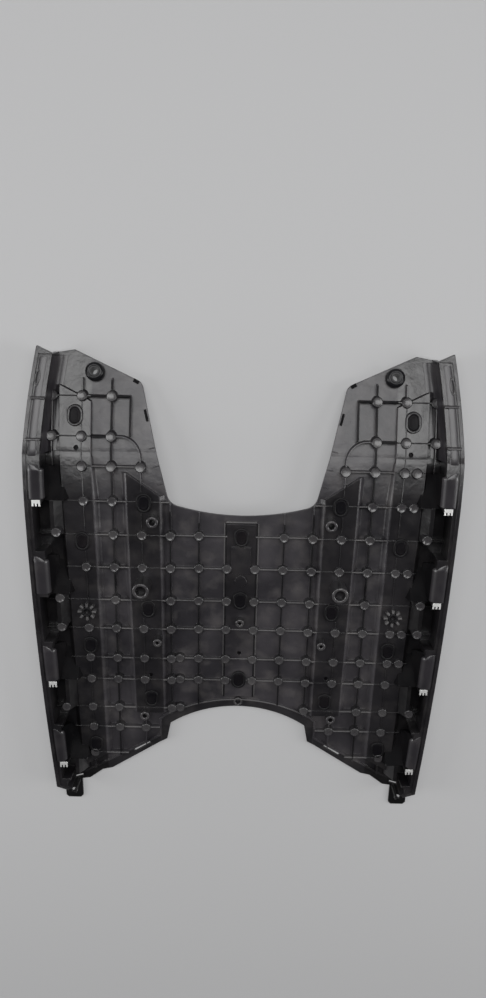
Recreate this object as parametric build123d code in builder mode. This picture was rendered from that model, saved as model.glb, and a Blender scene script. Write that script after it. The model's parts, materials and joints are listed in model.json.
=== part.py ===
from build123d import *
import os
from itertools import accumulate
from math import atan2, cos, pi, radians, sin, tan

# Underside of a scooter's floorboard, lying on its upper side. In the plan +X is across, +Y to the scooter's front,
# and heights count up from the flat underside. The bend between floor and ears lies at Y = 0.

# Walls and ribs
wall = 2.5
rib = 1.2
rib_height = 6.0
centre_rib_height = 3.8
post_diameter = 10.5
post_sides = 6
boss_sides = 8

# Floor outline
notch_bottom_y = -65.0
notch_corner = (75.7, -53.3)
notch_radius = 15.0
arch_apex = (0.0, -291.5)
arch_corner = (76.3, -315.4)
rear_edge = ((80.4, -336.5), (89.0, -341.4), (145.0, -378.0), (156.0, -380.5), (171.5, -392.5), (182.0, -394.0))

# Low bead that parts the ribbed floor from the plain flange along the rear edge
bead_apex = (0.0, -282.0)
bead_corner = (82.0, -304.0)
bead_edge = ((88.0, -310.0), (88.0, -331.0), (95.0, -335.5), (164.0, -375.5), (184.0, -384.0))
bead_width = 2.0
bead_height = 2.0

# Ears, measured along the ear from the bend
ear_bend = 17.0
bend_radius = 30.0
ear_reach = 103.0
ear_corner_x = 173.0
ear_inner_reach = 71.0
ear_inner_x = 104.0
ear_inner_radius = 10.0
ear_dip = (187.0, 96.0)
ear_rows = (17.0, 57.5)
ear_rib_x = 114.5
ear_arc_radius = 21.0
ear_front_rib_reach = 75.0

# Side skirts with their outward ledge, which ends in a fin in front and has a low lip along its rim
rim_wide = (217.3, -49.0)
rim_tip = (204.0, 103.5)
rim_rear = (204.0, -386.0)
skirt_height = 23.5
ledge_width = 14.0
ledge_taper = 5.0
lip_width = 3.5
lip_height = 25.0

# Hook pockets along the ledges
pocket_count = 4
pocket_first_y = -47.9
pocket_pitch = 102.8
pocket_length = 52.0
pocket_last_length = 20.0
pocket_wall_inset = 4.5
land_inset = 22.0
land_top_width = 4.0
land_width = 14.0
land_length = 38.0
land_height = 14.0
ramp_length = 28.0
ramp_share = 0.6

# Rib grid
column_pitch = 29.6
first_column = 14.8
row_start_y = -13.5
row_steps = (36.7, 36.3, 36.3, 37.5, 33.7, 35.8, 26.6, 35.8, 25.9, 34.6)
trough_x = 184.0
trough_rows = (2, 4, 5, 8)

# Sloping strip from the low centre up to the inner channels
slope_inner_x = 80.5
slope_outer_x = 86.0
slope_front = -60.0
slope_rear = -296.0

# Mat channels, which stand up on the underside
channel_height = 5.0
centre_channel_height = 3.0
centre_channel_half = 16.0
centre_channel_front = -73.0
centre_channel_rear = -277.0
mat_proud = 1.5
mat_gap = 0.2
stud_gap = 0.2
stud_hole_width = 12.0
stud_hole_length = 17.0
stud_end_sides = 3
stud_top = 1.6

# Bosses, each placed by its centre on the right half
big_tube = (103.4, -141.0)
big_tube_od = 17.0
big_tube_id = 12.0
big_tube_height = 25.0
big_tube_floor = 19.0
ring_boss = (91.5, -69.0)
ring_boss_od = 12.0
ring_boss_id = 7.0
ring_boss_height = 15.0
small_tube = (88.0, -205.0)
centre_tube_y = -183.0
small_tube_od = 9.0
small_tube_id = 4.0
small_tube_height = 16.5
centre_tube_height = 10.0
screw_tube = (104.0, -299.0)
screw_tube_od = 10.0
screw_tube_id = 5.5
screw_tube_height = 12.0
star_boss = (164.0, -174.0)
star_boss_od = 10.0
star_boss_id = 7.0
star_span = 20.0
star_arm = 1.2
star_arms = 4
star_height = 9.0
centre_block = (20.0, 30.0)
centre_block_y = -113.0
centre_block_height = 4.6
disc_y = -137.0
disc_diameter = 13.0
disc_height = 3.8
drain_diameter = 5.0
drains = ((97.0, -251.0), (161.0, -316.0))
ear_drain = (168.0, 5.0)
centre_drain_y = -222.6

# Rear tabs and slots
flange_outer_x = 203.0
flange_rear_y = -396.0
tab_inner_x = 181.0
tab_outer_x = 201.0
tab_end_y = -420.6
tab_radius = 3.0
tab_hole = (190.8, -410.8)
tab_hole_diameter = 7.0
slots = ((109.5, -347.8, -33.0), (190.0, -392.0, -17.0))
slot_length = 22.0
slot_width = 3.2
sight_slot = (194.5, -21.0)
sight_slot_size = (2.0, 7.5)

# Ear grommets
grommet_x = 151.0
grommet_reach = 80.5
grommet_hole_diameter = 12.0
grommet_diameter = 19.0
grommet_height = 8.0
grommet_back_diameter = 17.0
grommet_back_height = 2.5
grommet_bore = 7.0
grommet_round = 2.5
grommet_gap = 0.1

# Steel spring clips, folded over the ledge at the front of each hook pocket
clip_thickness = 0.7
clip_width = 8.4
clip_grip = 3.0
clip_web = 4.0
clip_finger = 1.7
clip_reach = 3.6
clip_inset = 11.5
clip_gap = 0.05
empty_place = (-1, 1)


def ear_y(reach):
    """Plan position of a point on an ear, this far along it from the bend."""
    return reach * cos(radians(ear_bend))


# The board rests on the front corners of its ears and on the ends of its rear tabs
front_y = ear_y(ear_reach)
front_z = -front_y * tan(radians(ear_bend)) - wall / cos(radians(ear_bend))
rest_tilt = atan2(-wall - front_z, front_y - tab_end_y)
tip_z = (skirt_height - wall) / cos(radians(ear_bend)) - rim_tip[1] * tan(radians(ear_bend))
rest_front = rim_tip[1] * cos(rest_tilt) - tip_z * sin(rest_tilt)
rest_rear = tab_end_y * cos(rest_tilt)
rest_lowest = tab_end_y * sin(rest_tilt) - wall * cos(rest_tilt)
deck = Plane(
    origin=(0, -(rest_front + rest_rear) / 2, -rest_lowest),
    x_dir=(1, 0, 0),
    z_dir=(0, -sin(rest_tilt), cos(rest_tilt)),
)
ear = deck.rotated((-ear_bend, 0, 0))
side = Plane(origin=deck.origin, x_dir=deck.y_dir, z_dir=deck.x_dir)
section = Plane(origin=deck.origin, x_dir=deck.x_dir, z_dir=-deck.y_dir)

rear_reach = -tab_end_y
board_half = rim_wide[0] + wall
columns = [first_column + column_pitch * i for i in range(7)]
rows = [row_start_y - step for step in accumulate([0, *row_steps])]
pocket_fronts = [pocket_first_y - pocket_pitch * i for i in range(pocket_count)]
pocket_lengths = [pocket_length] * (pocket_count - 1) + [pocket_last_length]
land_lengths = [land_length] * (pocket_count - 1) + [pocket_last_length]
sides = {"right": 1, "left": -1}


def rim_x(y):
    """Half width at the rim of the ledge, on the arcs that leave its widest point."""
    end_x, end_y = rim_tip if y > rim_wide[1] else rim_rear
    narrowing = rim_wide[0] - end_x
    radius = (narrowing**2 + (end_y - rim_wide[1]) ** 2) / (2 * narrowing)
    return rim_wide[0] - radius + (radius**2 - (y - rim_wide[1]) ** 2) ** 0.5


def board_plan(inset, rear_apex=arch_apex, rear_bend=arch_corner, rear=rear_edge):
    """The board from below, its side edges this far inside the rim of the ledge. The rim itself has the fins."""
    rear_inset = inset - ledge_taper if inset >= ledge_width else inset
    widest = (rim_wide[0] - inset, rim_wide[1])
    side_front = (rim_x(ear_dip[1]) - inset, ear_dip[1]) if inset else rim_tip
    side_rear = (rim_rear[0] - rear_inset, rim_rear[1])
    with BuildSketch(deck) as plan:
        with BuildLine():
            TangentArc((0, notch_bottom_y), notch_corner, tangent=(1, 0))
            ear_inner = (ear_inner_x, ear_y(ear_inner_reach))
            Polyline(notch_corner, ear_inner, (ear_corner_x, front_y), ear_dip, side_front)
            TangentArc(widest, side_front, tangent=(0, 1))
            TangentArc(widest, side_rear, tangent=(0, -1))
            TangentArc(rear_apex, rear_bend, tangent=(1, 0))
            Polyline(rear_bend, *rear, side_rear)
            Line(rear_apex, (0, notch_bottom_y))
        make_face()
        fillet(plan.vertices().sort_by_distance(notch_corner)[0], notch_radius)
        fillet(plan.vertices().sort_by_distance(ear_inner)[0], ear_inner_radius)
        mirror(about=Plane.YZ)
    return plan.sketch


def follow(plan, low, high):
    """Solid over a plan between two heights above the underside, bent where the ears are."""
    tangent_length = bend_radius * tan(radians(ear_bend / 2))
    bend_centre = (-tangent_length, -bend_radius)
    with BuildPart() as feature:
        with BuildSketch(side):
            with BuildLine():
                lower = CenterArc(bend_centre, bend_radius + low, 90 - ear_bend, ear_bend)
                upper = CenterArc(bend_centre, bend_radius + high, 90 - ear_bend, ear_bend)
                lower_ear = PolarLine(lower @ 0, ear_reach + skirt_height, -ear_bend)
                upper_ear = PolarLine(upper @ 0, ear_reach + skirt_height, -ear_bend)
                lower_floor = Line(lower @ 1, (-rear_reach, low))
                upper_floor = Line(upper @ 1, (-rear_reach, high))
                Line(lower_ear @ 1, upper_ear @ 1)
                Line(lower_floor @ 1, upper_floor @ 1)
            make_face()
        extrude(amount=board_half, both=True)
        extrude(plan, amount=rear_reach, both=True, mode=Mode.INTERSECT)
    return feature.part


def channel_plan(corners, inset):
    """Plan of a mat channel, moved in by inset all round."""
    with BuildSketch(deck) as plan:
        with BuildLine():
            Polyline(*corners, close=True)
        make_face()
        if inset:
            offset(amount=-inset, kind=Kind.INTERSECTION, mode=Mode.REPLACE)
    return plan.sketch


def stud_plan(centres, shrink):
    """Plan of the oval studs or their holes, smaller by shrink all round."""
    radius = stud_hole_width / 2 - shrink
    straight = (stud_hole_length - stud_hole_width) / 2
    angles = [pi * i / stud_end_sides for i in range(stud_end_sides + 1)]
    front_end = [(radius * cos(angle), straight + radius * sin(angle)) for angle in angles]
    with BuildSketch(deck) as plan:
        with Locations(*centres):
            Polygon(*front_end, *[(-x, -y) for x, y in front_end])
    return plan.sketch


def across(points, sign):
    """Points of the right half, or the same points mirrored to the left half."""
    return [(sign * x, y) for x, y in points]


def pocket_plan(front, length, outer_inset, inner_inset):
    """Plan of a stretch of both ledges behind front, between two insets from the rim."""
    rear = front - length
    with BuildSketch(deck) as plan:
        with BuildLine():
            Polyline(
                (rim_x(front) - inner_inset, front),
                (rim_x(front) - outer_inset, front),
                (rim_x(rear) - outer_inset, rear),
                (rim_x(rear) - inner_inset, rear),
                close=True,
            )
        make_face()
        mirror(about=Plane.YZ)
    return plan.sketch


def posts_at(places):
    """Outlines of posts at these places, with few sides because there are over a hundred posts."""
    with Locations(*places):
        RegularPolygon(post_diameter / 2, post_sides)


def tubes(centres, outer, bore, height, bore_floor=wall):
    """Upright tubes, their bores closed at this height above the underside."""
    with BuildPart() as feature:
        with BuildSketch(deck):
            with Locations(*centres):
                RegularPolygon(outer / 2, boss_sides)
        extrude(amount=height)
        with BuildSketch(deck.offset(bore_floor)):
            with Locations(*centres):
                RegularPolygon(bore / 2, boss_sides)
        extrude(amount=height, mode=Mode.SUBTRACT)
    return feature.part


def shelves():
    """The ramp up to each hook pocket and the land that runs on beside the pocket."""
    with BuildPart() as feature:
        for sign in sides.values():
            for front, length in zip(pocket_fronts, land_lengths):
                crest_x = rim_x(front) - land_inset
                foot_x = crest_x - land_width
                shoulder = (crest_x - land_top_width, land_height)
                with BuildSketch(section.offset(-front)):
                    with BuildLine():
                        Polyline(*across([(crest_x, 0), (crest_x, land_height), shoulder, (foot_x, 0)], sign), close=True)
                    make_face()
                extrude(amount=length)
                ramp_start = (front + ramp_length, 0)
                ramp_bend = (front + ramp_length * (1 - ramp_share), land_height * (1 - ramp_share) / 2)
                with BuildSketch(side.offset(sign * foot_x)):
                    with BuildLine():
                        Polyline(ramp_start, ramp_bend, (front, land_height), (front, 0), close=True)
                    make_face()
                extrude(amount=sign * (land_width + land_inset - ledge_width))
    return feature.part


def both_sides(point):
    """A place on the right half together with its mirror image."""
    return [point, (-point[0], point[1])]


# Channels: corner points, stud centres and height of each, named as the mat that lies in it
outer_corners = [
    (154.0, ear_y(52.0)),
    (186.0, ear_y(68.0)),
    (177.0, -372.0),
    (149.0, -355.0),
]
inner_corners = [(119.0, -20.0), (85.0, -44.0), (83.0, -299.0), (114.0, -299.0)]
centre_corners = [
    (-centre_channel_half, centre_channel_front),
    (centre_channel_half, centre_channel_front),
    (centre_channel_half, centre_channel_rear),
    (-centre_channel_half, centre_channel_rear),
]
outer_studs = [(169.6, ear_y(38.0)), (166.0, -94.0), (162.4, -215.0), (161.0, -341.5)]
inner_studs = [(101.0, -51.0), (98.4, -170.0), (96.8, -280.0)]
centre_studs = [(0.0, -87.0), (0.0, -159.0), (0.0, -255.0)]
channels = {"centre_mat": (centre_corners, centre_studs, centre_channel_height)}
for hand, sign in sides.items():
    channels[f"{hand}_inner_mat"] = (across(inner_corners, sign), across(inner_studs, sign), channel_height)
    channels[f"{hand}_outer_mat"] = (across(outer_corners, sign), across(outer_studs, sign), channel_height)

# Posts stand at these rows of each column, and the plain floor between has ribs alone
outer_post_rows = {
    2: range(2, 9),
    3: (0, 2, 3, 5, 6, 7, 9),
    4: range(10),
    5: (0, 1, 3, 5, 6, 7, 8, 9, 10),
    6: (2, 4, 5, 8),
}
centre_post_rows = {0: range(3, 8), 1: range(2, 8)}

with BuildSketch(deck) as outer_ribs:
    for index, y in enumerate(rows):
        inner_x = columns[2] if index else columns[3]
        outer_x = board_half if index in trough_rows else trough_x
        with Locations(((inner_x + outer_x) / 2, y)):
            Rectangle(outer_x - inner_x, rib)
    for inner_x, reach in zip((columns[4], ear_rib_x), ear_rows):
        outer_x = rim_x(ear_y(reach)) - ledge_width - wall / 2
        with Locations(((inner_x + outer_x) / 2, ear_y(reach))):
            Rectangle(outer_x - inner_x, rib)
    for x in columns[2:4]:
        with Locations((x, (rows[0] + rows[-1]) / 2)):
            Rectangle(rib, rows[0] - rows[-1])
    for x in columns[4:6]:
        with Locations((x, (ear_y(ear_front_rib_reach) + tab_end_y) / 2)):
            Rectangle(rib, ear_y(ear_front_rib_reach) - tab_end_y)
    with Locations((columns[6], (front_y + rows[0]) / 2)):
        Rectangle(rib, front_y - rows[0])
    with Locations((ear_rib_x, ear_y(sum(ear_rows) / 2))):
        Rectangle(rib, ear_y(ear_rows[1] - ear_rows[0]))
    with BuildLine():
        arc_start = (columns[3] + ear_arc_radius, ear_y(ear_rows[0]))
        arc_end = (columns[3], arc_start[1] - ear_arc_radius)
        Line((columns[4], arc_start[1]), arc_start)
        TangentArc(arc_start, arc_end, tangent=(-1, 0))
        Line(arc_end, (columns[3], rows[0]))
    trace(line_width=rib)
    mirror(about=Plane.YZ)

with BuildSketch(deck) as centre_ribs:
    for y in rows[2:8]:
        with Locations(*both_sides(((columns[0] + columns[2]) / 2, y))):
            Rectangle(columns[2] - columns[0], rib)
    with Locations(*both_sides((columns[1], (rows[1] + rows[8]) / 2))):
        Rectangle(rib, rows[1] - rows[8])

with BuildSketch(deck) as outer_posts:
    for column, taken in outer_post_rows.items():
        posts_at([(columns[column], rows[row]) for row in taken])
    posts_at([(x, ear_y(reach)) for x in columns[4:] for reach in ear_rows])
    mirror(about=Plane.YZ)

with BuildSketch(deck) as centre_posts:
    for column, taken in centre_post_rows.items():
        posts_at([(columns[column], rows[row]) for row in taken])
    mirror(about=Plane.YZ)

with BuildSketch(deck) as bead_plan:
    with BuildLine():
        TangentArc(bead_apex, bead_corner, tangent=(1, 0))
        Polyline(bead_corner, *bead_edge)
    trace(line_width=bead_width)
    mirror(about=Plane.YZ)

with BuildSketch(deck) as star_plan:
    with Locations(*both_sides(star_boss)):
        RegularPolygon(star_boss_od / 2, boss_sides)
        with PolarLocations(0, star_arms, angular_range=180):
            Rectangle(star_span, star_arm)
        RegularPolygon(star_boss_id / 2, boss_sides, mode=Mode.SUBTRACT)

with BuildSketch(deck) as tab_plan:
    with BuildLine():
        Polyline(
            (rear_edge[-2][0], rim_rear[1]),
            (flange_outer_x, rim_rear[1]),
            (flange_outer_x, flange_rear_y),
            (tab_outer_x, flange_rear_y),
            (tab_outer_x, tab_end_y),
            (tab_inner_x, tab_end_y),
            (tab_inner_x, rear_edge[-1][1]),
            rear_edge[-2],
            close=True,
        )
    make_face()
    chamfer(tab_plan.vertices().group_by(Axis.Y)[0], tab_radius)
    with Locations(tab_hole):
        Circle(tab_hole_diameter / 2, mode=Mode.SUBTRACT)
    mirror(about=Plane.YZ)

with BuildSketch(deck) as through_holes:
    for x, y, angle in slots:
        with Locations((x, y)):
            Rectangle(slot_length, slot_width, rotation=angle)
    with Locations(sight_slot):
        Rectangle(*sight_slot_size)
    with Locations(*drains, (ear_drain[0], ear_y(ear_drain[1]))):
        RegularPolygon(drain_diameter / 2, boss_sides)
    mirror(about=Plane.YZ)
    with Locations((0, centre_drain_y)):
        RegularPolygon(drain_diameter / 2, boss_sides)

# Features that follow the bend of the ears
inner_edge = ledge_width + wall
ribbed_floor = board_plan(pocket_wall_inset + wall / 2, bead_apex, bead_corner, bead_edge)
plate = follow(board_plan(ledge_width), -wall, 0)
skirt = follow(board_plan(ledge_width) - board_plan(inner_edge), -wall, skirt_height)
ledge = follow(board_plan(0) - board_plan(inner_edge), skirt_height - wall, skirt_height)
lip = follow(board_plan(0) - board_plan(lip_width), skirt_height - wall, lip_height)
pad_area = Sketch() + [channel_plan(corners, 0) for corners, studs, height in channels.values()]
floor_ribs = outer_ribs.sketch - pad_area
ribs = follow((floor_ribs + outer_posts.sketch) & ribbed_floor, -wall / 2, rib_height)
centre_grid = follow((centre_ribs.sketch + centre_posts.sketch) & ribbed_floor, -wall / 2, centre_rib_height)
bead = follow(bead_plan.sketch & board_plan(inner_edge), -wall / 2, bead_height)

# Hook pockets in the ledges, open to the inside and from below
pocket_boxes = []
pocket_cuts = []
for front, length in zip(pocket_fronts, pocket_lengths):
    box = pocket_plan(front + wall, length + 2 * wall, pocket_wall_inset, inner_edge)
    hollow = pocket_plan(front, length, pocket_wall_inset + wall, inner_edge + wall)
    pocket_boxes.append(follow(box, -wall, skirt_height))
    pocket_cuts.append(follow(hollow, 0, 2 * skirt_height))

# Mats, and the pads and pockets of the channels that hold them
pads = []
pad_pockets = []
mats = {}
for name, (corners, studs, height) in channels.items():
    seat = height - wall
    pads.append(follow(channel_plan(corners, 0), -wall, height))
    pad_pockets.append(follow(channel_plan(corners, wall), -2 * wall, seat))
    pad_pockets.append(follow(stud_plan(studs, 0), -wall, height + rib_height))
    body = follow(channel_plan(corners, wall + mat_gap), -wall - mat_proud, seat)
    mats[name] = body + follow(stud_plan(studs, stud_gap), -wall, height + stud_top)

bosses = [
    tubes(both_sides(big_tube), big_tube_od, big_tube_id, big_tube_height, big_tube_floor),
    tubes(both_sides(ring_boss), ring_boss_od, ring_boss_id, ring_boss_height),
    tubes(both_sides(small_tube), small_tube_od, small_tube_id, small_tube_height),
    tubes([(0, centre_tube_y)], small_tube_od, small_tube_id, centre_tube_height),
    tubes(both_sides(screw_tube), screw_tube_od, screw_tube_id, screw_tube_height),
]
with BuildPart() as floor_panel:
    add([plate, skirt, ledge, lip])
    add(pocket_boxes)
    add(pocket_cuts, mode=Mode.SUBTRACT)
    add(shelves())
    add(pads)
    add([ribs, centre_grid, bead])
    add(bosses)
    extrude(star_plan.sketch, amount=star_height)
    with BuildSketch(deck):
        with Locations((0, centre_block_y)):
            Rectangle(*centre_block)
    extrude(amount=centre_block_height)
    with BuildSketch(deck):
        with Locations((0, disc_y)):
            RegularPolygon(disc_diameter / 2, boss_sides)
    extrude(amount=disc_height)
    for sign in sides.values():
        with BuildSketch(section.offset(-slope_front)):
            with BuildLine():
                slope_corners = [(slope_inner_x, 0), (slope_outer_x, channel_height), (slope_outer_x, 0)]
                Polyline(*across(slope_corners, sign), close=True)
            make_face()
        extrude(amount=slope_front - slope_rear)
    extrude(tab_plan.sketch, amount=-wall)
    add(pad_pockets, mode=Mode.SUBTRACT)
    extrude(through_holes.sketch, amount=rear_reach, both=True, mode=Mode.SUBTRACT)
    with BuildSketch(ear):
        with Locations(*both_sides((grommet_x, grommet_reach))):
            RegularPolygon(grommet_hole_diameter / 2, boss_sides)
    extrude(amount=2 * wall, both=True, mode=Mode.SUBTRACT)

floor_panel.part.label = "floor_panel"
os.makedirs("parts", exist_ok=True)
export_step(floor_panel.part, "parts/floor_panel.step")

for name, mat in mats.items():
    mat.label = name
    export_step(mat, f"parts/{name}.step")

# Rubber grommets, gripping the edge of their holes in the ears
for hand, sign in sides.items():
    with BuildPart() as grommet:
        for plane, height, diameter in (
            (ear, grommet_height, grommet_diameter),
            (ear.offset(-wall), wall, grommet_hole_diameter - 2 * grommet_gap),
            (ear.offset(-wall), -grommet_back_height, grommet_back_diameter),
        ):
            with BuildSketch(plane):
                with Locations((sign * grommet_x, grommet_reach)):
                    RegularPolygon(diameter / 2, boss_sides)
                    Circle(grommet_bore / 2, mode=Mode.SUBTRACT)
            extrude(amount=height)
        chamfer(grommet.faces().sort_by(Axis(ear.origin, ear.z_dir))[-1].outer_wire().edges(), grommet_round)
    grommet.part.label = f"{hand}_grommet"
    export_step(grommet.part, f"parts/{hand}_grommet.step")

# Spring clips
with BuildPart() as side_clips:
    for hand in sides.values():
        for index, front in enumerate(pocket_fronts):
            if (hand, index) == empty_place:
                continue
            clip_x = hand * (rim_x(front) - clip_inset)
            top = skirt_height + clip_thickness
            web_face = front - clip_gap
            with BuildSketch(side.offset(clip_x)):
                with BuildLine():
                    Polyline(
                        (front + clip_grip, skirt_height),
                        (front + clip_grip, top),
                        (web_face - clip_thickness, top),
                        (web_face - clip_thickness, skirt_height - clip_web),
                        (web_face, skirt_height - clip_web),
                        (web_face, skirt_height),
                        close=True,
                    )
                make_face()
            extrude(amount=clip_width / 2, both=True)
            with BuildSketch(deck.offset(skirt_height)):
                with Locations((clip_x, front - clip_reach / 2)):
                    with GridLocations((clip_width - clip_finger) / 2, 0, 3, 1):
                        Rectangle(clip_finger, clip_reach)
            extrude(amount=clip_thickness)
side_clips.part.label = "side_clips"
export_step(side_clips.part, "parts/side_clips.step")
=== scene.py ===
import json
from itertools import accumulate
from math import copysign, cos, pi, radians, sin, tan

import bmesh
import bpy
from mathutils import Matrix, Vector


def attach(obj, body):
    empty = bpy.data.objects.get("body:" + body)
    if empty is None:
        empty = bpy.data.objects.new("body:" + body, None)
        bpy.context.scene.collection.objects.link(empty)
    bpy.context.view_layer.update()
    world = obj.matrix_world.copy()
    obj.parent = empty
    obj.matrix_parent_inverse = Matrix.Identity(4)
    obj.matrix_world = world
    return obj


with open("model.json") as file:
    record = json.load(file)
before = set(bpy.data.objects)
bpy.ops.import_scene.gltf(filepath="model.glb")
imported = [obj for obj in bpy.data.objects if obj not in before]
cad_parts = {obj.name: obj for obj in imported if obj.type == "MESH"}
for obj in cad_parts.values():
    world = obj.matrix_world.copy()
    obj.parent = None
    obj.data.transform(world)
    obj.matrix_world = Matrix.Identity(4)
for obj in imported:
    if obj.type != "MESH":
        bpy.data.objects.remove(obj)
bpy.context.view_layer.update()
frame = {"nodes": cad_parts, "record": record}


# The floorboard is one black polypropylene moulding with a satin grain, a little dusty. It lies on its upper side, so
# its ribbed underside faces up and its ears bend down. Plan sizes are in millimetres from the middle of the bend.
mm = 0.001
mounts = {mount["name"]: mount for mount in frame["record"]["mounts"]}
deck_up = Vector(mounts["rear_tab_bolts"]["axis"]).normalized()
deck_front = deck_up.cross(Vector((1, 0, 0)))
ear_up = Vector(mounts["ear_bolts"]["axis"]).normalized()
ear_front = ear_up.cross(Vector((1, 0, 0)))
ear_bend = deck_up.angle(ear_up)
tab_hole_y = -410.8
half_wall = 1.25
deck_origin = Vector(mounts["rear_tab_bolts"]["pos_m"]) - (deck_front * tab_hole_y - deck_up * half_wall) * mm


def on_board(x, y, z):
    """Row position of a plan point of the underside at a height above it. The ears start at y = 0."""
    lift = min(z, z / cos(ear_bend) - y * tan(ear_bend))
    return deck_origin + (Vector((x, 0, 0)) + deck_front * y + deck_up * lift) * mm


def moulded(name, dark, light, roughness, grain, dust, shine=0.5):
    """Moulded plastic or rubber: cloudy tone, dusty patches, fine grain and softly rounded edges."""
    material = bpy.data.materials.new(name)
    material.use_nodes = True
    nodes, links = material.node_tree.nodes, material.node_tree.links
    shader = nodes["Principled BSDF"]
    shader.inputs["Specular IOR Level"].default_value = shine
    place = nodes.new("ShaderNodeTexCoord")
    cloud = nodes.new("ShaderNodeTexNoise")
    cloud.inputs["Scale"].default_value = 20
    cloud.inputs["Detail"].default_value = 6
    links.new(place.outputs["Object"], cloud.inputs["Vector"])
    tone = nodes.new("ShaderNodeValToRGB")
    tone.color_ramp.elements[0].position = 0.35
    tone.color_ramp.elements[0].color = (*dark, 1)
    tone.color_ramp.elements[1].position = 0.68
    tone.color_ramp.elements[1].color = (*light, 1)
    links.new(cloud.outputs["Fac"], tone.inputs["Fac"])
    patches = nodes.new("ShaderNodeTexNoise")
    patches.inputs["Scale"].default_value = 55
    patches.inputs["Detail"].default_value = 9
    links.new(place.outputs["Object"], patches.inputs["Vector"])
    settled = nodes.new("ShaderNodeMapRange")
    settled.inputs["From Min"].default_value = 0.48
    settled.inputs["From Max"].default_value = 0.78
    settled.inputs["To Max"].default_value = dust
    links.new(patches.outputs["Fac"], settled.inputs["Value"])
    dusty = nodes.new("ShaderNodeMixRGB")
    dusty.inputs["Color2"].default_value = (0.13, 0.12, 0.115, 1)
    links.new(settled.outputs["Result"], dusty.inputs["Fac"])
    links.new(tone.outputs["Color"], dusty.inputs["Color1"])
    links.new(dusty.outputs["Color"], shader.inputs["Base Color"])
    smear = nodes.new("ShaderNodeMapRange")
    smear.inputs["To Min"].default_value = roughness - 0.06
    smear.inputs["To Max"].default_value = roughness + 0.06
    links.new(cloud.outputs["Fac"], smear.inputs["Value"])
    links.new(smear.outputs["Result"], shader.inputs["Roughness"])
    speck = nodes.new("ShaderNodeTexNoise")
    speck.inputs["Scale"].default_value = grain
    speck.inputs["Detail"].default_value = 3
    links.new(place.outputs["Object"], speck.inputs["Vector"])
    soft_edge = nodes.new("ShaderNodeBevel")
    soft_edge.inputs["Radius"].default_value = 0.7 * mm
    bump = nodes.new("ShaderNodeBump")
    bump.inputs["Strength"].default_value = 0.12
    bump.inputs["Distance"].default_value = 0.3 * mm
    links.new(speck.outputs["Fac"], bump.inputs["Height"])
    links.new(soft_edge.outputs["Normal"], bump.inputs["Normal"])
    links.new(bump.outputs["Normal"], shader.inputs["Normal"])
    return material


def dress(piece, material):
    """Gives a CAD node or a new piece one material."""
    piece.data.materials.clear()
    piece.data.materials.append(material)


plastic_grain = 900
board_dark = (0.016, 0.0148, 0.0175)
board_light = (0.038, 0.035, 0.039)
board_roughness = 0.40
board_plastic = moulded("board plastic", board_dark, board_light, board_roughness, plastic_grain, 0.32)
dress(frame["nodes"]["floor_panel"], board_plastic)


# The mould was polished in the mat channels, so the plastic is glossier there than in the grained cells of the rib
# grid.
# The channels, the deep troughs and pockets beside the ledges and the rear flange are also painted darker, which is
# painted shade. Behind the bend the floor takes the light as if it curved down to the ears, which comes from the
# plastic's normals.
channel_shade_tone = 0.40
polish_roughness = 0.30
trough_shade_tone = 0.50
flange_shade_tone = 0.45
# Lines of the plan: x at the bend, slant along the board, and the side that counts
outer_channel_line = (153.5, 0.0124, 1)
inner_channel_lines = ((85.3, 0.0078, 1), (119.4, 0.0179, -1))
hollow_line = (184.5, 0.0206, 1)
# Half width, front end and rear end
centre_channel = (16.0, -73.0, -277.0)
centre_fade = 130.0
# Other lines of the plan: y at the middle of the board and slant across it
inner_channel_front = (-104.0, 0.706)
inner_channel_rear = -300.0
rear_edge_line = (-281.6, 0.58)
trough_shade_heights = (13.0, 21.0)
trough_shade_fade = (12.0, 25.0)
arch_centre_y = -445.8
arch_radius = 162.6
arch_half = 87.0
bend_reach = 60.0
bend_crease = 1.2
trough_bend_run = 14.0
wave_depth = 3.0
plastic_nodes, plastic_links = board_plastic.node_tree.nodes, board_plastic.node_tree.links


def plastic_math(operation, first, second=0.0, third=0.0):
    """Result of one arithmetic node of the board's plastic, on sockets or plain numbers."""
    step = plastic_nodes.new("ShaderNodeMath")
    step.operation = operation
    step.use_clamp = operation == "MULTIPLY_ADD"
    for socket, value in zip(step.inputs, (first, second, third)):
        if isinstance(value, (int, float)):
            socket.default_value = value
        else:
            plastic_links.new(value, socket)
    return step.outputs["Value"]


def ramp_past(value, limit, sense, over=1.0):
    """1 where a length in metres is past a limit, over a soft run in millimetres, else 0."""
    return plastic_math("MULTIPLY_ADD", value, sense / (over * mm), -sense * limit / (over * mm))


def past_line(x, slant, sense):
    """1 on one side of a straight line of the plan, given by its x at the bend and its slant, else 0."""
    straightened = plastic_math("SUBTRACT", half_x, plastic_math("MULTIPLY", along, slant))
    return ramp_past(straightened, x * mm, sense)


plastic_place = plastic_nodes["Texture Coordinate"].outputs["Object"]
where = plastic_nodes.new("ShaderNodeSeparateXYZ")
plastic_links.new(plastic_place, where.inputs["Vector"])
half_x = plastic_math("ABSOLUTE", where.outputs["X"])
along = plastic_math("SUBTRACT", where.outputs["Y"], deck_origin.y)
inner_mask = plastic_math("MINIMUM", *[past_line(*line) for line in inner_channel_lines])
slanted = plastic_math("SUBTRACT", along, plastic_math("MULTIPLY", half_x, inner_channel_front[1]))
inner_ends = (ramp_past(along, inner_channel_rear * mm, 1), ramp_past(slanted, inner_channel_front[0] * mm, -1))
inner_mask = plastic_math("MINIMUM", inner_mask, plastic_math("MINIMUM", *inner_ends))
centre_half, centre_front, centre_rear = [length * mm for length in centre_channel]
centre_ends = (ramp_past(along, centre_front, -1), ramp_past(along, centre_rear, 1, centre_fade))
centre_mask = plastic_math("MINIMUM", plastic_math("MINIMUM", *centre_ends), ramp_past(half_x, centre_half, -1))
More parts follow.
